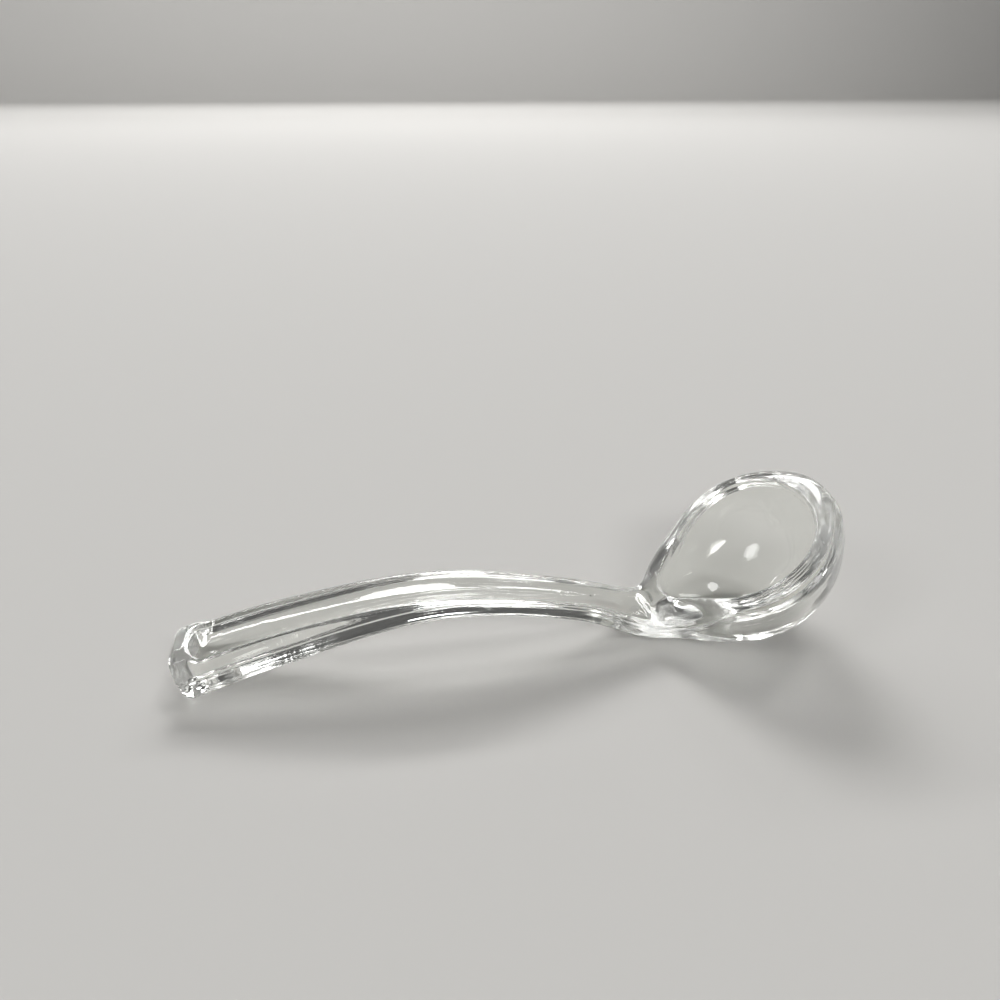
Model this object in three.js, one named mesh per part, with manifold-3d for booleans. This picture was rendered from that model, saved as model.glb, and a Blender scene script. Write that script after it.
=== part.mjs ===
// A small pressed-glass ladle: a deep bowl with a thick rounded rim, tilted towards its arched bar handle.
// Millimetres, +Z up. It rests on the bowl's heel and on the lower edge of the handle's end.
// +X runs from the handle's end to the bowl's far lip, and the XZ plane is the plane of symmetry.
import * as THREE from "three";
import { mergeVertices } from "three/addons/utils/BufferGeometryUtils.js";
import Module from "manifold-3d";

const wasm = await Module();
wasm.setup();

// Bowl: its rim plane holds the mould seam and is tilted up towards the far lip.
// The outline is given by its radii at five angles, from the far lip round to the neck.
const rimTilt = THREE.MathUtils.degToRad(37.5);
const bowlOutline = { lip: 21.1, lipSide: 20.5, side: 20.0, neckSide: 18.7, neck: 22.0 };
const bowlDepth = 17.8;
const bowlFloor = 4.0;
const outlineFade = 8.2;

// Rim: a rounded band above the seam, with a shallow crease under it at the seam.
const rimHeight = 2.4;
const rimRounding = 3.4;
const creaseDepth = 0.4;
const creaseWidth = 0.9;

// Mouth: it leaves this wall at the same five angles, and a nose points along the handle.
const rimWall = { lip: 5.4, lipSide: 3.7, side: 4.1, neckSide: 4.5, neck: 8.1 };
const mouthNose = 3.6;
const mouthNosePower = 12;
const mouthEdgeRounding = 0.3;

// Handle: the seam line's height, the half width, the crown above the seam and the belly below it.
const endDome = 2.3;
const handleEnd = { halfWidth: 7.1, crown: 5.3, belly: 5.2 };
const handleRise = { span: 17.4, height: 9.6, halfWidth: 6.5, crown: 5.1, belly: 4.9 };
const handleCrest = { span: 30.4, height: 15.3, halfWidth: 5.7, crown: 2.1, belly: 4.2 };
const handleFall = { span: 29.3, height: 10.9, halfWidth: 5.1, crown: 0.8, belly: 4.3 };
const handleNeck = { span: 16.6, reach: 1.6, halfWidth: 7.2, crown: 0.9, belly: 4.7 };

// Root: where the handle spreads inside the bowl's wall, as steps inwards from the outline's side radius.
const rootShoulder = { inset: 1.8, halfWidth: 9.8, crown: 2.8, belly: 9.4 };
const rootFlare = { inset: 5.0, halfWidth: 12.2, crown: 2.0, belly: 12.0 };
const rootEnd = { inset: 9.0, halfWidth: 12.6, crown: 1.6, belly: 13.8 };

// The handle's section: how round its crown and its belly are, from 1 for an ellipse to 0 for a box.
// Both become rounder where the handle turns into the root.
const crownRoundness = { across: 0.5, up: 0.8 };
const bellyRoundness = { across: 0.45, up: 0.6 };
const rootRoundness = { across: 0.9, up: 0.95 };
const endRoundness = 0.3;

// The flute is a channel along the top of the handle, between two crests at this share of the half width.
// Its floor lies this deep under the crests. It starts with a round end and runs out before the neck.
const fluteDepth = 1.1;
const fluteShare = 0.875;
const fluteStart = 2.0;
const fluteRoundEnd = 3.0;
const fluteRunOut = 36.0;
const fluteToNeck = 6.0;

// The heel and the handle's lower edge are ground this much where they touch the table.
const restGrinding = 0.25;

// Facets
const bowlFacets = 64;
const bowlRows = 10;
const rimRows = [0.15, 0.4, 0.7, 1];
const mouthRows = [0, 0.5, 1];
const sectionFacets = 36;
const stepsPerSpan = 7;
const domeRows = 4;

// Bowl frame: the directions along and square to the rim plane, and the centre of the outline.
const along = new THREE.Vector2(Math.cos(rimTilt), Math.sin(rimTilt));
const square = new THREE.Vector2(-along.y, along.x);
const neckX = handleRise.span + handleCrest.span + handleFall.span + handleNeck.span;
const centre = new THREE.Vector2(neckX + (bowlOutline.side + handleNeck.reach) * along.x, 0);

// The bowl stands on its heel: its lowest point, less the grinding, is on the table.
centre.y = -Math.min(...bowlRings().flat().map((p) => p.z)) - restGrinding;

// The handle's end stands on its lower edge in the same way.
const endSlope = Math.atan2(handleRise.height - handleEnd.belly, handleRise.span);
const endHeight = handleEnd.belly * Math.cos(endSlope) - restGrinding;

// A point of the XZ plane at a place of the bowl frame.
function inBowlFrame(u, s) {
  return centre.clone().addScaledVector(along, u).addScaledVector(square, s);
}

// A closed skin over rings of equal count, with a fan at each end.
function skin(rings) {
  const count = rings[0].length;
  const points = rings.flat();
  const middle = (ring) =>
    ring.reduce((sum, p) => sum.add(p), new THREE.Vector3()).divideScalar(count);
  points.push(middle(rings[0]), middle(rings.at(-1)));
  const faces = [];
  for (let i = 0; i < count; i++) {
    const next = (i + 1) % count;
    for (let r = 0; r + 1 < rings.length; r++) {
      const low = r * count;
      const high = low + count;
      faces.push(low + i, low + next, high + next, low + i, high + next, high + i);
    }
    const last = (rings.length - 1) * count;
    faces.push(points.length - 2, next, i, points.length - 1, last + i, last + next);
  }
  const geometry = new THREE.BufferGeometry().setFromPoints(points);
  geometry.setIndex(faces);
  return geometry;
}

function toSolid(geometry) {
  const bare = geometry.clone();
  bare.deleteAttribute("normal");
  bare.deleteAttribute("uv");
  const merged = mergeVertices(bare, 1e-4);
  return new wasm.Manifold(
    new wasm.Mesh({
      numProp: 3,
      vertProperties: merged.attributes.position.array,
      triVerts: new Uint32Array(merged.index.array),
    }),
  );
}

function toGeometry(solid) {
  const mesh = solid.getMesh();
  const geometry = new THREE.BufferGeometry();
  geometry.setAttribute("position", new THREE.BufferAttribute(mesh.vertProperties, 3));
  geometry.setIndex(new THREE.BufferAttribute(mesh.triVerts, 1));
  geometry.computeVertexNormals();
  return geometry;
}

// The smooth outline through five radii at 0, 45, 90, 135 and 180 degrees, as a function of the angle.
// It is their cosine series, so it is symmetric and has no corner.
function outlineThrough({ lip, lipSide, side, neckSide, neck }) {
  const radii = [lip / 2, lipSide, side, neckSide, neck / 2];
  const waves = radii.map((_, k) => {
    const share = k === 0 || k === 4 ? 1 / 4 : 1 / 2;
    return share * radii.reduce((sum, r, j) => sum + r * Math.cos((Math.PI / 4) * j * k), 0);
  });
  return (angle) => waves.reduce((sum, wave, k) => sum + wave * Math.cos(k * angle), 0);
}

// The mouth's outline: the bowl's outline less the wall, and the nose on the handle's side.
function mouthOutline() {
  const radii = {};
  for (const place of Object.keys(bowlOutline)) radii[place] = bowlOutline[place] - rimWall[place];
  const plain = outlineThrough(radii);
  return (angle) => plain(angle) + mouthNose * Math.max(-Math.cos(angle), 0) ** mouthNosePower;
}

// One ring round the bowl: the outline shrunk by a factor and an inset, at a height above the rim plane.
function bowlRing(outline, scale, inset, height) {
  return Array.from({ length: bowlFacets }, (_, i) => {
    const angle = (2 * Math.PI * i) / bowlFacets;
    const r = (outline(angle) - inset) * scale;
    const p = inBowlFrame(r * Math.cos(angle), height);
    return new THREE.Vector3(p.x, r * Math.sin(angle), p.y);
  });
}

// Rings of a dome under the rim plane, from near its bottom up to the rim plane.
// The outline fades into a circle with depth.
function domeRings(outline, radius, depth) {
  return Array.from({ length: bowlRows + 1 }, (_, i) => {
    const a = (Math.PI / 2) * (1 - (i + 0.5) / (bowlRows + 0.5));
    const share = Math.cos(a) ** outlineFade;
    const faded = (angle) => radius + (outline(angle) - radius) * share;
    return bowlRing(faded, Math.cos(a), 0, -depth * Math.sin(a));
  });
}

// The bowl before it is hollowed: the dome, the crease at the seam, and the rounded rim band.
function bowlRings() {
  const outline = outlineThrough(bowlOutline);
  const rings = domeRings(outline, bowlOutline.side, bowlDepth).slice(0, -1);
  rings.push(bowlRing(outline, 1, 0, -creaseWidth));
  rings.push(bowlRing(outline, 1, creaseDepth, 0));
  for (const share of rimRows) {
    const a = (Math.PI / 2) * share;
    rings.push(bowlRing(outline, 1, rimRounding * (1 - Math.cos(a)), rimHeight * Math.sin(a)));
  }
  return rings;
}

// What the mouth takes out: the hollow's dome, and the rounded edge where it opens through the rim.
function hollowRings() {
  const outline = mouthOutline();
  const rings = domeRings(outline, bowlOutline.side - rimWall.side, bowlDepth - bowlFloor);
  for (const share of mouthRows) {
    const a = (Math.PI / 2) * share;
    const height = rimHeight - mouthEdgeRounding * (1 - Math.sin(a));
    rings.push(bowlRing(outline, 1, -mouthEdgeRounding * (1 - Math.cos(a)), height));
  }
  rings.push(bowlRing(outline, 1, -mouthEdgeRounding, rimHeight + rootShoulder.crown));
  return rings;
}

// The stations of the handle, from its end to inside the bowl, as places and as section sizes.
function handleCurves() {
  const places = [new THREE.Vector3(0, 0, endHeight)];
  let x = 0;
  for (const station of [handleRise, handleCrest, handleFall]) {
    x += station.span;
    places.push(new THREE.Vector3(x, 0, station.height));
  }
  for (const step of [handleNeck.reach, -rootShoulder.inset, -rootFlare.inset, -rootEnd.inset]) {
    const p = inBowlFrame(-(bowlOutline.side + step), 0);
    places.push(new THREE.Vector3(p.x, 0, p.y));
  }
  const bar = [handleEnd, handleRise, handleCrest, handleFall, handleNeck];
  const sizes = [...bar, rootShoulder, rootFlare, rootEnd].map(
    ({ halfWidth, crown, belly }) => new THREE.Vector3(halfWidth, crown, belly),
  );
  return {
    line: new THREE.CatmullRomCurve3(places, false, "centripetal"),
    size: new THREE.CatmullRomCurve3(sizes, false, "centripetal"),
    spans: places.length - 1,
  };
}

// A section of the handle: a broad top with the flute in it, and a belly with steep sides.
// The flute's floor is raised by a share of its whole depth, from 0 for a full flute to 1 for none.
// The sides round off where the handle becomes the root, from 0 for handle to 1 for root.
function section(size, raised, root) {
  const rounded = ({ across, up }) => ({
    across: THREE.MathUtils.lerp(across, rootRoundness.across, root),
    up: THREE.MathUtils.lerp(up, rootRoundness.up, root),
  });
  const crown = rounded(crownRoundness);
  const belly = rounded(bellyRoundness);
  const crest = size.y * (1 - fluteShare ** (2 / crown.across)) ** (crown.up / 2);
  const floor = crest - fluteDepth + (size.y - crest + fluteDepth) * raised;
  return Array.from({ length: sectionFacets }, (_, i) => {
    const a = (2 * Math.PI * i) / sectionFacets;
    const c = Math.cos(a);
    const s = Math.sin(a);
    const top = s >= 0;
    const roundness = top ? crown : belly;
    const across = Math.sign(c) * Math.abs(c) ** roundness.across * size.x;
    const rise = (top ? size.y : -size.z) * Math.abs(s) ** roundness.up;
    const channel = floor + fluteDepth * (across / (fluteShare * size.x)) ** 2;
    return new THREE.Vector2(across, Math.min(rise, channel));
  });
}

// How far the flute's floor is raised at a distance along the handle, at its round end and its run-out.
function fluteRaised(x) {
  const atStart = Math.max((fluteStart + fluteRoundEnd - x) / fluteRoundEnd, 0);
  const atNeck = Math.max((x - (neckX - fluteToNeck - fluteRunOut)) / fluteRunOut, 0);
  return Math.max(atStart, atNeck) ** 2;
}

function handleRings() {
  const { line, size, spans } = handleCurves();
  const ringAt = (t, scale, push) => {
    const place = line.getPoint(t);
    const ahead = line.getTangent(t);
    const up = new THREE.Vector3(-ahead.z, 0, ahead.x);
    const root = THREE.MathUtils.smoothstep(place.x, neckX - handleNeck.span / 2, neckX + rootFlare.inset);
    return section(size.getPoint(t), fluteRaised(place.x), root).map((p) =>
      place
        .clone()
        .addScaledVector(ahead, -push)
        .addScaledVector(up, p.y * scale)
        .add(new THREE.Vector3(0, p.x * scale, 0)),
    );
  };
  const rings = [];
  for (let i = domeRows; i > 0; i--) {
    const a = (Math.PI / 2) * (i / (domeRows + 0.5));
    rings.push(ringAt(0, Math.cos(a) ** endRoundness, endDome * Math.sin(a)));
  }
  for (let i = 0; i <= spans * stepsPerSpan; i++) {
    rings.push(ringAt(i / (spans * stepsPerSpan), 1, 0));
  }
  return rings;
}

// A block from one corner to the other.
function block(low, high) {
  const size = high.clone().sub(low);
  const box = new THREE.BoxGeometry(size.x, size.y, size.z);
  const middle = low.clone().add(high).multiplyScalar(0.5);
  return toSolid(box.translate(middle.x, middle.y, middle.z));
}

// The pressing in one piece, then the table's plane taken off where it rests.
const body = toSolid(skin(bowlRings())).add(toSolid(skin(handleRings())));
const pressing = body.subtract(toSolid(skin(hollowRings())));
const bounds = pressing.boundingBox();
const low = new THREE.Vector3(...bounds.min).subScalar(1);
const high = new THREE.Vector3(...bounds.max).addScalar(1);
const ground = pressing.subtract(block(low, new THREE.Vector3(high.x, high.y, 0)));
const handleSide = block(low, new THREE.Vector3(neckX, high.y, high.z));

const glass = () =>
  new THREE.MeshStandardMaterial({
    color: 0xf2f4ee,
    roughness: 0.03,
    metalness: 0,
    transparent: true,
    opacity: 0.35,
  });

function piece(name, solid) {
  const mesh = new THREE.Mesh(toGeometry(solid), glass());
  mesh.name = name;
  return mesh;
}

const ladle = new THREE.Group();
ladle.add(piece("handle", ground.intersect(handleSide)));
ladle.add(piece("bowl", ground.subtract(handleSide)));

// The origin is under the middle of the whole ladle, on the table.
const box = new THREE.Box3().setFromObject(ladle);
ladle.position.set(-(box.min.x + box.max.x) / 2, -(box.min.y + box.max.y) / 2, -box.min.z);

export default ladle;
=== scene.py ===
# Looks of a small pressed-glass ladle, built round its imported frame.
# The glass is one continuous piece, so one fine mesh stands for the bowl and the handle.
# Its shape is an implicit surface in millimetres, in the part's own frame: +X towards the bowl, +Z up.
import math

import bpy
import numpy as np
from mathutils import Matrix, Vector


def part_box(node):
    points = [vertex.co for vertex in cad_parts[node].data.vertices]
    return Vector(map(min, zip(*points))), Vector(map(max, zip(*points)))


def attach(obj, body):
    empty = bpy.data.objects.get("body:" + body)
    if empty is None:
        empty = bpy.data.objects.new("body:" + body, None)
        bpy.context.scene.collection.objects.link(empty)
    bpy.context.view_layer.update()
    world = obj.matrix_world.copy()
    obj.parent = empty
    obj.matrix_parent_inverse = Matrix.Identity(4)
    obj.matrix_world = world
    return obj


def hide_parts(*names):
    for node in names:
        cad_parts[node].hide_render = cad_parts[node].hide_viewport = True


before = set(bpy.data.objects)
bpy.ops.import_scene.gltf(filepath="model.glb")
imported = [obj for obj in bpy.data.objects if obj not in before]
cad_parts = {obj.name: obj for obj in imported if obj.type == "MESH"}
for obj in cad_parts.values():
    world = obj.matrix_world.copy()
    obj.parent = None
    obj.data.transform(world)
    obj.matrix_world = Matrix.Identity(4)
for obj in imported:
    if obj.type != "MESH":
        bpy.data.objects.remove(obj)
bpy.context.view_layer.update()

MM = 0.001
NECK_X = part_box("bowl")[0].x / MM
node_boxes = np.array([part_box(node) for node in ("bowl", "handle")])
glass_low, glass_high = node_boxes[:, 0].min(axis=0), node_boxes[:, 1].max(axis=0)

# Bowl: the radii of the outline and the wall's thickness at five angles, from the far lip to the neck
RIM_TILT = math.radians(37.5)
OUTLINE = {"lip": 21.1, "lip_side": 20.5, "side": 20.0, "neck_side": 18.7, "neck": 22.0}
WALL = {"lip": 5.4, "lip_side": 3.7, "side": 4.1, "neck_side": 4.5, "neck": 8.1}
BOWL_DEPTH = 17.8
BOWL_FLOOR = 4.0
CENTRE_HEIGHT = 18.40
# How fast the outline turns into a circle under the rim plane
OUTLINE_FADE = 8.2
# Rim band above the seam, and the groove that runs under it along the seam
RIM_HEIGHT = 2.4
RIM_ROUNDING = 3.4
CREASE_DEPTH = 0.9
CREASE_WIDTH = 0.85
CREASE_POWER = 2
# The mouth's corner at the neck
MOUTH_NOSE = 3.6
MOUTH_NOSE_POWER = 12

# Handle: distance before the neck plane, height of the seam line, half width, crown and belly
HANDLE_STATIONS = (
    (93.7, 4.77, 7.1, 5.3, 5.2),
    (76.3, 9.6, 6.5, 5.1, 4.9),
    (45.9, 15.3, 5.7, 2.1, 4.2),
    (16.6, 10.9, 5.1, 0.8, 4.3),
)
# Root: distance outside the outline's side radius, along the rim plane, and the same section sizes
ROOT_STATIONS = (
    (1.6, 7.2, 0.9, 4.7),
    (-1.8, 9.8, 2.8, 9.4),
    (-5.0, 12.2, 2.0, 12.0),
    (-9.0, 12.6, 1.6, 13.8),
)
# Exponents of the section's superellipse, across and up
CROWN_POWERS = (4.0, 2.5)
BELLY_POWERS = (4.44, 3.33)
ROOT_POWERS = (2.22, 2.1)
ROOT_BLEND = (8.0, 4.0)
END_DOME = 2.3
END_POWER = 6.67

# Flute: the channel along the handle's top, between two crests
FLUTE_SHARE = 0.875
FLUTE_DEPTH = 1.1
FLUTE_START = 2.0
FLUTE_ROUND_END = 3.0
FLUTE_RUN_OUT = 36.0
FLUTE_TO_NECK = 6.0

# How softly the fire-polished forms run into each other
NECK_FILLET = 3.0
EDGE_SOFTNESS = 0.9
CREST_SOFTNESS = 0.9
GROUND_SOFTNESS = 0.25

# The handle's line: samples to a span, even step, reach of the smoothing and run past the end
SPAN_SAMPLES = 200
SPLINE_STEP = 0.05
SPLINE_SOFTNESS = 2.0
END_RUN = 6.0
# Steps to a point's nearest place on the line, and the least divisor of a step where the line bends
NEAREST_STEPS = 3
LEAST_DIVISOR = 0.3

# Grid of the surface: its margin is in steps, and only blocks near the surface are worked out in full
GRID_STEP = 0.37
GRID_MARGIN = 2.0
BLOCK = 5
NEAR = 1.4
PINCH_PASSES = 3
PINCH_FILL = -0.001

# Moving the mesh's corners onto the surface, by less than this many steps, and evening them out
PROBE = 0.02
LEAST_SLOPE = 0.2
LEAST_SQUARED_SLOPE = 0.2
PROJECTIONS = 2
LONGEST_MOVE = 0.5
RELAXATIONS = 4
RELAX_SHARE = 0.5
TINY = 1e-6

# Regions that the marks follow: distances past the neck plane, above the seam and off the hollow
BOWL_REGION = (-2.0, 4.0)
HANDLE_REGION = (-14.0, -2.0)
RIM_REGION = (0.6, 2.0)
HOLLOW_REGION = (0.3, 1.0)

# Glass: each mark's depth is in metres, and its scale in features to a metre
GLASS_COLOUR = (0.95, 0.96, 0.93, 1)
GLASS_IOR = 1.51
# The mould seam and its lines: height from the seam in millimetres, and level between 0 and 1
SEAM_REACH = 4.0
SEAM_DEPTH = 0.00028
SEAM_PROFILE = (
    (-4.0, 0.5), (-2.9, 0.5), (-2.6, 0.42), (-2.3, 0.5), (-1.8, 0.5), (-1.55, 0.38), (-1.3, 0.5),
    (-0.95, 0.52), (-0.75, 0.4), (-0.5, 0.55), (-0.25, 0.6), (0.0, 0.0), (0.25, 0.75), (0.55, 0.62),
    (1.2, 0.5), (4.0, 0.5),
)
# Waves all over, ripples across the handle, dimples in the hollow and hair scratches
WAVE_SCALE = (150, 220, 220)
WAVE_DEPTH = 0.00006
RIPPLE_SCALE = (1500, 120, 120)
RIPPLE_DEPTH = 0.000014
DIMPLE_SCALE = (330, 330, 330)
DIMPLE_DEPTH = 0.00007
SCRATCH_SCALE = (160, 4500, 300)
SCRATCH_TURNS = ((10, 0, 20), (-15, 20, 75), (0, -10, -40))
SCRATCH_LEVELS = (0.7, 0.77)
SCRATCH_DEPTH = 0.000004
SCRATCH_ROUGHNESS = 0.12
# Wear: the noise's levels and the roughness that they turn into
WEAR_SCALE = (120, 120, 120)
WEAR_RANGE = (0.45, 0.75, 0.0, 0.05)
RIM_WEAR_RANGE = (0.35, 0.65, 0.03, 0.2)

# Studio, in metres; the air gap lets light in and out where the glass touches the floor
FLOOR_COLOUR = (0.58, 0.57, 0.55, 1)
FLOOR_ROUGHNESS = 0.9
AIR_GAP = 0.00006
FLOOR_HALF_WIDTH = 8.0
FLOOR_FRONT = -5.0
WALL_DISTANCE = 6.0
WALL_HEIGHT = 6.0
WALL_BEND = 1.0
BEND_STEPS = 16
# Lamps: the point faced, azimuth from +Y towards +X, elevation, size, radiance and distance
LADLE_MIDDLE = (0, 0, 0)
WALL_MIDDLE = (0, WALL_DISTANCE, 1.6)
LAMPS = {
    "back_softbox": (LADLE_MIDDLE, 0, 43, (1.7, 1.3), 8.8, 4.0),
    "back_strip": (LADLE_MIDDLE, 0, 36, (6.0, 0.36), 9.6, 4.0),
    "front_softbox": (LADLE_MIDDLE, 168, 40, (3.2, 0.7), 6.4, 4.0),
    "right_softbox": (LADLE_MIDDLE, 60, 66, (1.1, 1.1), 6.4, 4.0),
    "left_softbox": (LADLE_MIDDLE, -110, 40, (0.9, 1.5), 4.0, 4.0),
    "wall_softbox": (WALL_MIDDLE, 180, 10, (9.0, 1.0), 3.2, 3.0),
}
# World: heights between 0 at the horizon and 1 overhead, and the grey there
WORLD_SHADE = ((0.05, 0.5), (0.5, 0.08))
GLASS_BOUNCES = 24

# Camera, fitted to the ladle's outlines in the photograph; the focal length is in its pixels
FRAME_PIXELS = 1000
FOCAL_PIXELS = 757.88
SENSOR_WIDTH = 36
CLIP_START = 0.005
CAMERA_PLACE = (-0.02448, -0.12204, 0.1029)
CAMERA_DOWN = 28.92
CAMERA_TO_RIGHT = 10.06

along = np.array([math.cos(RIM_TILT), math.sin(RIM_TILT)])
centre = np.array([NECK_X + (OUTLINE["side"] + ROOT_STATIONS[0][0]) * along[0], CENTRE_HEIGHT])
hollow_side = OUTLINE["side"] - WALL["side"]
hollow_depth = BOWL_DEPTH - BOWL_FLOOR


def cosine_waves(radii):
    """The cosine series through five radii at 0, 45, 90, 135 and 180 degrees."""
    angles = np.arange(5) * math.pi / 4
    return np.linalg.solve(np.cos(np.outer(angles, np.arange(5))), list(radii))


outline_waves = cosine_waves(OUTLINE.values())
mouth_waves = cosine_waves(OUTLINE[place] - WALL[place] for place in OUTLINE)


def wave_sum(waves, cosine):
    """The series at an angle of a known cosine, by Chebyshev's recurrence."""
    before, now = np.ones_like(cosine), cosine
    total = waves[0] + waves[1] * cosine
    for wave in waves[2:]:
        before, now = now, 2 * cosine * now - before
        total = total + wave * now
    return total


def smooth_max(a, b, softness):
    """The larger of two values, with a round passage where they are close."""
    return np.maximum(a, b) + np.maximum(softness - np.abs(a - b), 0) ** 2 / (4 * softness)


def smooth_min(a, b, softness):
    """The smaller of two values, with a round passage where they are close."""
    return -smooth_max(-a, -b, softness)


def smoothstep(x, low, high):
    """A soft step from 0 at the low value to 1 at the high one."""
    t = np.clip((x - low) / (high - low), 0, 1)
    return t * t * (3 - 2 * t)


def catmull_rom(points, samples):
    """Samples of the centripetal curve through the points, the same number to a span."""
    points = np.asarray(points, float)
    padded = np.vstack([2 * points[0] - points[1], points, 2 * points[-1] - points[-2]])
    share = np.arange(samples)[:, None] / samples
    spans = []
    for p0, p1, p2, p3 in zip(padded, padded[1:], padded[2:], padded[3:]):
        d0, d1, d2 = (math.sqrt(np.linalg.norm(q - p)) for p, q in ((p0, p1), (p1, p2), (p2, p3)))
        leave = ((p1 - p0) / d0 - (p2 - p0) / (d0 + d1) + (p2 - p1) / d1) * d1
        arrive = ((p2 - p1) / d1 - (p3 - p1) / (d1 + d2) + (p3 - p2) / d2) * d1
        bend = -3 * p1 + 3 * p2 - 2 * leave - arrive
        twist = 2 * p1 - 2 * p2 + leave + arrive
        spans.append(p1 + share * leave + share**2 * bend + share**3 * twist)
    return np.vstack(spans + [points[-1:]])


def soften(values, reach):
    """A running average with a bell-shaped weight, with straight runs past both ends."""
    half = int(3 * reach)
    weights = np.exp(-0.5 * (np.arange(-half, half + 1) / reach) ** 2)
    steps = np.arange(1, half + 1)
    before = values[0] - steps[::-1] * (values[1] - values[0])
    after = values[-1] + steps * (values[-1] - values[-2])
    return np.convolve(np.concatenate([before, values, after]), weights / weights.sum(), "valid")


def handle_line():
    """Even samples along the handle: arc length, place, direction and section sizes."""
    places = [(NECK_X - before, height) for before, height, *_ in HANDLE_STATIONS]
    places += [tuple(centre - (OUTLINE["side"] + step) * along) for step, *_ in ROOT_STATIONS]
    sizes = [station[2:] for station in HANDLE_STATIONS] + [station[1:] for station in ROOT_STATIONS]
    line = catmull_rom(places, SPAN_SAMPLES)
    size = catmull_rom(sizes, SPAN_SAMPLES)
    arc = np.concatenate([[0], np.cumsum(np.hypot(*np.diff(line, axis=0).T))])
    even = np.arange(0, arc[-1], SPLINE_STEP)
    columns = [np.interp(even, arc, column) for column in (*line.T, *size.T)]
    columns = [soften(column, SPLINE_SOFTNESS / SPLINE_STEP) for column in columns]
    run = np.arange(-END_RUN, 0, SPLINE_STEP)
    slope = np.array([columns[0][1] - columns[0][0], columns[1][1] - columns[1][0]]) / SPLINE_STEP
    columns[0] = np.concatenate([columns[0][0] + run * slope[0], columns[0]])
    columns[1] = np.concatenate([columns[1][0] + run * slope[1], columns[1]])
    for i in (2, 3, 4):
        columns[i] = np.concatenate([np.full(len(run), columns[i][0]), columns[i]])
    heading = np.arctan2(np.gradient(columns[1]), np.gradient(columns[0]))
    return np.concatenate([run, even]), columns, heading


arcs, (line_x, line_z, half_widths, crowns, bellies), headings = handle_line()
curvatures = np.gradient(headings) / SPLINE_STEP
handle_length = arcs[-1]
neck_arc = np.interp(NECK_X, line_x, arcs)


def on_line(x, z, s):
    """How far a point is past the line's point at an arc length, and how far above it."""
    heading = np.interp(s, arcs, headings)
    dx = x - np.interp(s, arcs, line_x)
    dz = z - np.interp(s, arcs, line_z)
    cosine, sine = np.cos(heading), np.sin(heading)
    return dx * cosine + dz * sine, dz * cosine - dx * sine


def nearest_on_line(x, z):
    """The arc length of the line's nearest point, and how far above the line a point is."""
    s = np.interp(x, line_x, arcs)
    for _ in range(NEAREST_STEPS):
        past, rise = on_line(x, z, s)
        bend = np.interp(s, arcs, curvatures)
        s = np.clip(s + past / np.maximum(1 - bend * rise, LEAST_DIVISOR), arcs[0], arcs[-1])
    past, rise = on_line(x, z, s)
    return s + past, rise


def section_powers(s, start):
    """A section's exponents, which blend into the root's."""
    root = smoothstep(s, neck_arc - ROOT_BLEND[0], neck_arc + ROOT_BLEND[1])
    return [power + root * (end - power) for power, end in zip(start, ROOT_POWERS)]


def bar_field(s, y, rise):
    """The bar without its flute: below 0 inside."""
    half_width = np.interp(s, arcs, half_widths)
    top = rise > 0
    height = np.where(top, np.interp(s, arcs, crowns), np.interp(s, arcs, bellies))
    crown_powers, belly_powers = section_powers(s, CROWN_POWERS), section_powers(s, BELLY_POWERS)
    power_across = np.where(top, crown_powers[0], belly_powers[0])
    power_up = np.where(top, crown_powers[1], belly_powers[1])
    gauge = (np.abs(y) / half_width) ** power_across + (np.abs(rise) / height) ** power_up
    gauge = gauge ** (1 / power_across)
    past_end = np.maximum(np.maximum(-s, s - handle_length), 0) / END_DOME
    whole = (gauge**END_POWER + past_end**2) ** (1 / END_POWER) - 1
    return whole * half_width


def flute_field(s, y, rise):
    """How far a point is above the flute's floor."""
    half_width, crown = np.interp(s, arcs, half_widths), np.interp(s, arcs, crowns)
    across, up = section_powers(s, CROWN_POWERS)
    crest = crown * (1 - FLUTE_SHARE**across) ** (1 / up)
    at_start = np.maximum((FLUTE_START + FLUTE_ROUND_END - s) / FLUTE_ROUND_END, 0)
    at_neck = np.maximum((s - (neck_arc - FLUTE_TO_NECK - FLUTE_RUN_OUT)) / FLUTE_RUN_OUT, 0)
    raised = np.maximum(at_start, at_neck) ** 2
    floor = crest - FLUTE_DEPTH + (crown - crest + FLUTE_DEPTH) * raised
    return rise - floor - FLUTE_DEPTH * (y / (FLUTE_SHARE * half_width)) ** 2


def in_bowl_frame(x, z):
    """The place along the rim plane and the height above it."""
    dx, dz = x - centre[0], z - centre[1]
    return dx * along[0] + dz * along[1], dz * along[0] - dx * along[1]


def round_axis(u, y):
    """The distance from the bowl's axis and the cosine of the angle round it."""
    distance = np.sqrt(u * u + y * y + TINY)
    return distance, u / distance


def dome_field(distance, cosine, s, waves, side, depth):
    """A dome under the rim plane whose outline fades into a circle with depth."""
    shrink = np.sqrt(np.clip(1 - (s / depth) ** 2, 0, 1))
    radius = side + (wave_sum(waves, cosine) - side) * shrink**OUTLINE_FADE
    k0 = np.sqrt((distance / radius) ** 2 + (s / depth) ** 2)
    k1 = np.sqrt((distance / radius**2) ** 2 + (s / depth**2) ** 2) + TINY
    return k0 * (k0 - 1) / k1


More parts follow.
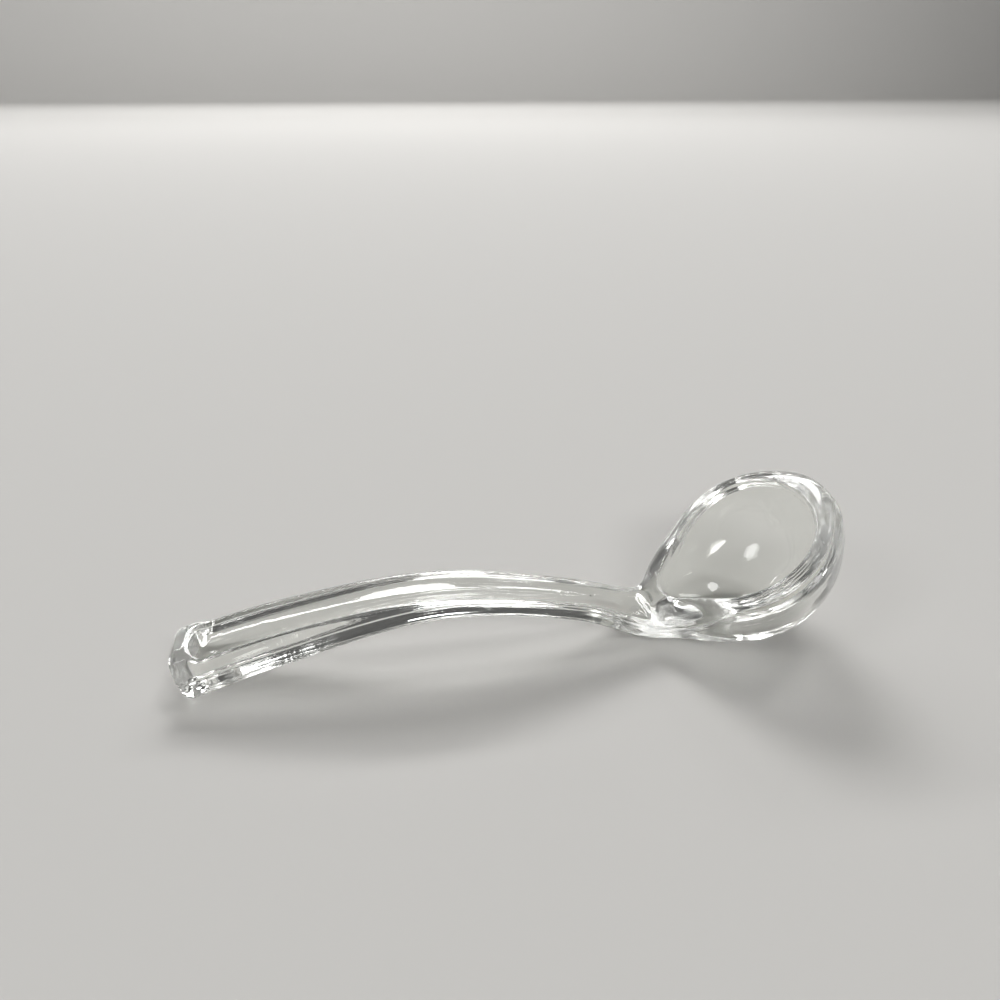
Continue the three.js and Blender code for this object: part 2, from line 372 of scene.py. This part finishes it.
def bowl_field(u, y, s):
    """The bowl before it is hollowed: dome, crease at the seam, and rounded rim band."""
    distance, cosine = round_axis(u, y)
    dome = dome_field(distance, cosine, s, outline_waves, OUTLINE["side"], BOWL_DEPTH)
    over = np.maximum(distance - wave_sum(outline_waves, cosine) + RIM_ROUNDING, 0) / RIM_ROUNDING
    up = s / RIM_HEIGHT
    k0 = np.sqrt(over**2 + up**2)
    k1 = np.sqrt((over / RIM_ROUNDING) ** 2 + (up / RIM_HEIGHT) ** 2) + TINY
    rim = k0 * (k0 - 1) / k1
    crease = CREASE_DEPTH * np.exp(-np.abs(s / CREASE_WIDTH) ** CREASE_POWER)
    return np.where(s < 0, dome, rim) + crease


def hollow_field(u, y, s):
    """What the mouth takes out: a dome under the rim plane, and straight up above it."""
    distance, cosine = round_axis(u, y)
    dome = dome_field(distance, cosine, s, mouth_waves, hollow_side, hollow_depth)
    nose = MOUTH_NOSE * np.maximum(-cosine, 0) ** MOUTH_NOSE_POWER
    fade = np.sqrt(np.clip(1 - (s / hollow_depth) ** 2, 0, 1)) ** OUTLINE_FADE
    above = distance - wave_sum(mouth_waves, cosine)
    return np.where(s < 0, dome - nose * fade, above - nose)


def true_distance(field, a, b, c):
    """The field over the length of its slope, so that its value is close to a distance."""
    value = field(a, b, c)
    slope = sum(
        (field(a + da, b + db, c + dc) - value) ** 2
        for da, db, dc in ((PROBE, 0, 0), (0, PROBE, 0), (0, 0, PROBE))
    )
    return value * PROBE / np.sqrt(slope + (LEAST_SLOPE * PROBE) ** 2)


def glass_field(x, y, z):
    """The whole ladle: below 0 inside the glass."""
    arc, rise = nearest_on_line(x, z)
    u, s = in_bowl_frame(x, z)
    flute = true_distance(flute_field, arc, y, rise)
    bar = smooth_max(true_distance(bar_field, arc, y, rise), flute, CREST_SOFTNESS)
    outside = smooth_min(bar, true_distance(bowl_field, u, y, s), NECK_FILLET)
    glass = smooth_max(outside, -true_distance(hollow_field, u, y, s), EDGE_SOFTNESS)
    return smooth_max(glass, -z, GROUND_SOFTNESS)


def fill_pinches(values):
    """Fills the grid squares whose corners are inside and outside crosswise.

    Two sheets of the surface would share an edge there.
    """
    for across, up in ((0, 1), (1, 2), (2, 0)) * PINCH_PASSES:
        layers = np.moveaxis(values, (across, up), (0, 1))
        corners = [layers[i : i - 1 or None, j : j - 1 or None] for i, j in np.ndindex(2, 2)]
        low, right, left, high = (corner < 0 for corner in corners)
        pinched = (low == high) & (left == right) & (low != left)
        for corner in corners:
            corner[pinched & (corner >= 0)] = PINCH_FILL


def grid_values():
    """The field on an even grid over the ladle, and the grid's low corner.

    One side is worked out, and the other is its mirror image.
    """
    low = glass_low / MM - GRID_MARGIN * GRID_STEP
    high = glass_high / MM + GRID_MARGIN * GRID_STEP
    low[1] = 0
    blocks = np.ceil((high - low) / (BLOCK * GRID_STEP)).astype(int)
    corner = np.meshgrid(*(np.arange(n + 1) * BLOCK for n in blocks), indexing="ij")
    coarse = glass_field(*(start + c * GRID_STEP for start, c in zip(low, corner)))
    values = coarse[:-1, :-1, :-1]
    near = np.zeros(blocks, bool)
    for i, j, k in np.ndindex(2, 2, 2):
        at_corner = coarse[i : i + blocks[0], j : j + blocks[1], k : k + blocks[2]]
        near |= np.abs(at_corner) < NEAR * BLOCK * GRID_STEP
    for axis in range(3):
        values, near = np.repeat(values, BLOCK, axis), np.repeat(near, BLOCK, axis)
    index = np.nonzero(near)
    values[index] = glass_field(*(start + i * GRID_STEP for start, i in zip(low, index)))
    values = np.concatenate([values[:, :0:-1], values], axis=1)
    low[1] = -GRID_STEP * (values.shape[1] // 2)
    fill_pinches(values)
    return values, low


def surface_net(values):
    """Quads round the zero level, one corner in each cell that it crosses, in grid steps."""
    shape = np.array(values.shape)
    strides = np.array([shape[1] * shape[2], shape[2], 1])
    unit = np.eye(3, dtype=int)
    inside = values < 0
    quads, crossings = [], []
    for axis in range(3):
        changes = np.diff(inside, axis=axis)
        start = np.stack(np.nonzero(changes), 1)
        a, b = values[tuple(start.T)], values[tuple((start + unit[axis]).T)]
        u, w = unit[(axis + 1) % 3], unit[(axis + 2) % 3]
        corners = np.stack([(start - o) @ strides for o in (0 * u, u, u + w, w)], 1)
        corners[a >= 0] = corners[a >= 0][:, ::-1]
        quads.append(corners)
        crossings.append(start + (a / (a - b))[:, None] * unit[axis])
    quads, crossings = np.concatenate(quads), np.concatenate(crossings)
    cells, corner_ids = np.unique(quads, return_inverse=True)
    corner_ids = corner_ids.reshape(-1, 4)
    count = np.bincount(corner_ids.ravel(), minlength=len(cells))
    points = [np.bincount(corner_ids.ravel(), np.repeat(column, 4)) / count for column in crossings.T]
    across = cells // strides[1] % shape[1]
    mirror = np.searchsorted(cells, cells + (shape[1] - 2 - 2 * across) * strides[1])
    return np.stack(points, 1), corner_ids, mirror


def slope_at(points, mirror):
    """The field and its slope at each point, worked out on one side and mirrored to the other."""
    side = np.nonzero(points[:, 1] >= 0)[0]
    x, y, z = points[side].T
    value = glass_field(x, y, z)
    ahead = [glass_field(x + dx, y + dy, z + dz) for dx, dy, dz in np.eye(3) * PROBE]
    behind = [glass_field(x - dx, y - dy, z - dz) for dx, dy, dz in np.eye(3) * PROBE]
    slope = (np.stack(ahead, 1) - np.stack(behind, 1)) / (2 * PROBE)
    values, slopes = np.empty(len(points)), np.empty_like(points)
    values[mirror[side]], slopes[mirror[side]] = value, slope * (1, -1, 1)
    values[side], slopes[side] = value, slope
    return values, slopes


def settle(points, mirror):
    """Moves each point onto the surface."""
    for _ in range(PROJECTIONS):
        value, slope = slope_at(points, mirror)
        step = (value / np.maximum((slope**2).sum(1), LEAST_SQUARED_SLOPE))[:, None] * slope
        length = np.linalg.norm(step, axis=1)[:, None]
        points = points - step * np.minimum(1, LONGEST_MOVE * GRID_STEP / np.maximum(length, TINY))
    return points


def relax(points, quads, mirror):
    """Evens out the corners along the surface."""
    edges = np.concatenate([quads.ravel(), np.roll(quads, -1, 1).ravel()]).reshape(2, -1)
    count = np.bincount(edges.ravel(), minlength=len(points))
    _, slope = slope_at(points, mirror)
    normal = slope / np.linalg.norm(slope, axis=1)[:, None]
    for _ in range(RELAXATIONS):
        total = [
            np.bincount(edges[0], column[edges[1]], len(points))
            + np.bincount(edges[1], column[edges[0]], len(points))
            for column in points.T
        ]
        pull = np.stack(total, 1) / count[:, None] - points
        points = points + RELAX_SHARE * (pull - (pull * normal).sum(1)[:, None] * normal)
    return points


def glass_mesh():
    """The ladle's fine mesh."""
    values, low = grid_values()
    points, quads, mirror = surface_net(values)
    points = settle(low + points * GRID_STEP, mirror)
    points = settle(relax(points, quads, mirror), mirror)
    _, slope = slope_at(points, mirror)
    normals = slope / np.linalg.norm(slope, axis=1)[:, None]
    points = np.clip(points * MM, glass_low, glass_high)
    mesh = bpy.data.meshes.new("ladle_glass")
    mesh.from_pydata(points.tolist(), [], quads.tolist())
    mesh.polygons.foreach_set("use_smooth", np.ones(len(mesh.polygons), bool))
    mesh.normals_split_custom_set_from_vertices(normals.tolist())
    mark_regions(mesh, points / MM)
    piece = bpy.data.objects.new("ladle_glass", mesh)
    bpy.context.scene.collection.objects.link(piece)
    return piece


def mark_regions(mesh, points):
    """Stores on each corner what the fine marks follow: seam height, handle, rim and hollow."""
    x, y, z = points.T
    arc, rise = nearest_on_line(x, z)
    u, s = in_bowl_frame(x, z)
    bowl = smoothstep(arc - neck_arc, *BOWL_REGION)
    regions = {
        "seam_height": rise + (s - rise) * bowl,
        "handle": 1 - smoothstep(arc - neck_arc, *HANDLE_REGION),
        "rim": bowl * smoothstep(s, *RIM_REGION),
        "hollow": 1 - smoothstep(np.abs(hollow_field(u, y, s)), *HOLLOW_REGION),
    }
    for name, values in regions.items():
        mesh.attributes.new(name, "FLOAT", "POINT").data.foreach_set("value", values)


class Shading:
    """A material's nodes, with short names for the few kinds that are used here."""

    def __init__(self, name):
        self.material = bpy.data.materials.new(name)
        self.material.use_nodes = True
        self.tree = self.material.node_tree
        self.shader = self.tree.nodes["Principled BSDF"]

    def node(self, kind, sockets=(), **settings):
        """A new node, with a link or a value on each socket."""
        node = self.tree.nodes.new("ShaderNode" + kind)
        for name, value in settings.items():
            setattr(node, name, value)
        for key, value in dict(sockets).items():
            if isinstance(value, bpy.types.NodeSocket):
                self.tree.links.new(value, node.inputs[key])
            else:
                node.inputs[key].default_value = value
        return node

    def region(self, name):
        """The level that the mesh stores under a name."""
        return self.node("Attribute", attribute_name=name).outputs["Fac"]

    def math(self, operation, *values):
        return self.node("Math", enumerate(values), operation=operation).outputs[0]

    def spread(self, value, low, high, to_low=0.0, to_high=1.0):
        """A value between two limits, spread over two others."""
        sockets = {"Value": value, 1: low, 2: high, 3: to_low, 4: to_high}
        return self.node("MapRange", sockets).outputs["Result"]

    def noise(self, scale, turn=(0, 0, 0), detail=2.0):
        """Noise whose features are this many to a metre along each turned axis."""
        place = self.node("TexCoord").outputs["Object"]
        turned = self.node("Mapping", {"Vector": place, "Rotation": turn}, vector_type="TEXTURE")
        scaled = self.node("Mapping", {"Vector": turned.outputs[0], "Scale": scale})
        sockets = {"Vector": scaled.outputs[0], "Scale": 1.0, "Detail": detail}
        return self.node("TexNoise", sockets).outputs["Fac"]

    def bump(self, height, depth, normal=None):
        """The normal of a surface that is raised by a height from 0 to 1, times the depth."""
        sockets = {"Height": height, "Distance": depth}
        if normal:
            sockets["Normal"] = normal
        return self.node("Bump", sockets).outputs["Normal"]

    def profile(self, value, reach, stops):
        """A level from 0 to 1 that follows a value between -reach and reach."""
        node = self.node("ValToRGB", {"Fac": self.spread(value, -reach, reach)})
        ramp = node.color_ramp
        ramp.interpolation = "B_SPLINE"
        (_, first_level), *middle, (_, last_level) = stops
        ramp.elements[0].color = (first_level, first_level, first_level, 1)
        ramp.elements[-1].color = (last_level, last_level, last_level, 1)
        for place, level in middle:
            ramp.elements.new((place + reach) / (2 * reach)).color = (level, level, level, 1)
        return node.outputs["Color"]


def scratch_layers(glass):
    """Fine hair scratches that cross each other, from 0 to 1."""
    total = 0.0
    for turn in SCRATCH_TURNS:
        streaks = glass.noise(SCRATCH_SCALE, [math.radians(angle) for angle in turn])
        total = glass.math("ADD", total, glass.spread(streaks, *SCRATCH_LEVELS))
    return total


def glass_material():
    """Clear pressed glass: fire-polished, with its mould's marks and fine wear."""
    glass = Shading("clear_glass")
    shader = glass.shader.inputs
    shader["Base Color"].default_value = GLASS_COLOUR
    shader["IOR"].default_value = GLASS_IOR
    shader["Transmission Weight"].default_value = 1

    seam = glass.profile(glass.region("seam_height"), SEAM_REACH, SEAM_PROFILE)
    normal = glass.bump(seam, SEAM_DEPTH)
    normal = glass.bump(glass.noise(WAVE_SCALE), WAVE_DEPTH, normal)
    ripples = glass.math("MULTIPLY", glass.noise(RIPPLE_SCALE), glass.region("handle"))
    normal = glass.bump(ripples, RIPPLE_DEPTH, normal)
    dimples = glass.math("MULTIPLY", glass.noise(DIMPLE_SCALE, detail=0.0), glass.region("hollow"))
    normal = glass.bump(dimples, DIMPLE_DEPTH, normal)
    scratches = scratch_layers(glass)
    normal = glass.bump(glass.math("MULTIPLY", scratches, -1.0), SCRATCH_DEPTH, normal)
    glass.tree.links.new(normal, shader["Normal"])

    wear = glass.spread(glass.noise(WEAR_SCALE, detail=4.0), *WEAR_RANGE)
    frosting = glass.spread(glass.noise(WEAR_SCALE), *RIM_WEAR_RANGE)
    rim_wear = glass.math("MULTIPLY", glass.region("rim"), frosting)
    scratch_wear = glass.math("MULTIPLY", scratches, SCRATCH_ROUGHNESS)
    roughness = glass.math("ADD", glass.math("ADD", wear, rim_wear), scratch_wear)
    glass.tree.links.new(roughness, shader["Roughness"])
    return glass.material


def floor_material():
    """Plain pale paint."""
    floor = Shading("pale_floor")
    floor.shader.inputs["Base Color"].default_value = FLOOR_COLOUR
    floor.shader.inputs["Roughness"].default_value = FLOOR_ROUGHNESS
    return floor.material


def studio_sweep():
    """A pale floor that bends up into a wall far behind."""
    bend_start = WALL_DISTANCE - WALL_BEND
    profile = [(FLOOR_FRONT, 0.0)]
    for i in range(BEND_STEPS + 1):
        a = math.pi / 2 * i / BEND_STEPS
        profile.append((bend_start + WALL_BEND * math.sin(a), WALL_BEND * (1 - math.cos(a))))
    profile.append((WALL_DISTANCE, WALL_HEIGHT))
    sides = (-FLOOR_HALF_WIDTH, FLOOR_HALF_WIDTH)
    points = [(x, y, z - AIR_GAP) for x in sides for y, z in profile]
    count = len(profile)
    faces = [(i, i + count, i + 1 + count, i + 1) for i in range(count - 1)]
    mesh = bpy.data.meshes.new("studio_floor")
    mesh.from_pydata(points, [], faces)
    mesh.polygons.foreach_set("use_smooth", [True] * len(mesh.polygons))
    floor = bpy.data.objects.new("studio_floor", mesh)
    mesh.materials.append(floor_material())
    bpy.context.scene.collection.objects.link(floor)


def softbox(name, aim, azimuth, elevation, size, radiance, distance):
    """A soft lamp that faces a point from a direction."""
    lamp = bpy.data.lights.new(name, "AREA")
    lamp.shape = "ELLIPSE"
    lamp.size, lamp.size_y = size
    lamp.energy = radiance * math.pi * size[0] * size[1]
    thing = bpy.data.objects.new(name, lamp)
    turn, rise = math.radians(azimuth), math.radians(elevation)
    away = np.array((math.sin(turn) * math.cos(rise), math.cos(turn) * math.cos(rise), math.sin(rise)))
    thing.location = np.array(aim) + distance * away
    thing.rotation_euler = (math.pi / 2 - rise, 0, math.pi - turn)
    bpy.context.scene.collection.objects.link(thing)


def studio_world():
    """Soft light all round: brighter towards the horizon, darker overhead."""
    world = bpy.data.worlds.new("studio")
    world.use_nodes = True
    nodes, links = world.node_tree.nodes, world.node_tree.links
    place = nodes.new("ShaderNodeTexCoord")
    height = nodes.new("ShaderNodeSeparateXYZ")
    shade = nodes.new("ShaderNodeValToRGB")
    for element, (level, grey) in zip(shade.color_ramp.elements, WORLD_SHADE):
        element.position = level
        element.color = (grey, grey, grey, 1)
    links.new(place.outputs["Generated"], height.inputs[0])
    links.new(height.outputs["Z"], shade.inputs["Fac"])
    links.new(shade.outputs["Color"], nodes["Background"].inputs["Color"])
    nodes["Background"].inputs["Strength"].default_value = 1
    bpy.context.scene.world = world


def camera():
    """The photograph's view."""
    lens = bpy.data.cameras.new("camera")
    lens.sensor_width = SENSOR_WIDTH
    lens.lens = FOCAL_PIXELS * SENSOR_WIDTH / FRAME_PIXELS
    lens.clip_start = CLIP_START
    thing = bpy.data.objects.new("camera", lens)
    thing.location = CAMERA_PLACE
    thing.rotation_euler = (math.radians(90 - CAMERA_DOWN), 0, -math.radians(CAMERA_TO_RIGHT))
    bpy.context.scene.collection.objects.link(thing)
    bpy.context.scene.camera = thing


camera()
ladle = glass_mesh()
ladle.data.materials.append(glass_material())
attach(ladle, "root")
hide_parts("bowl", "handle")
studio_sweep()
studio_world()
for name, settings in LAMPS.items():
    softbox(name, *settings)
bpy.context.scene.view_settings.view_transform = "Standard"
for kind in ("max_bounces", "glossy_bounces", "transmission_bounces"):
    setattr(bpy.context.scene.cycles, kind, GLASS_BOUNCES)
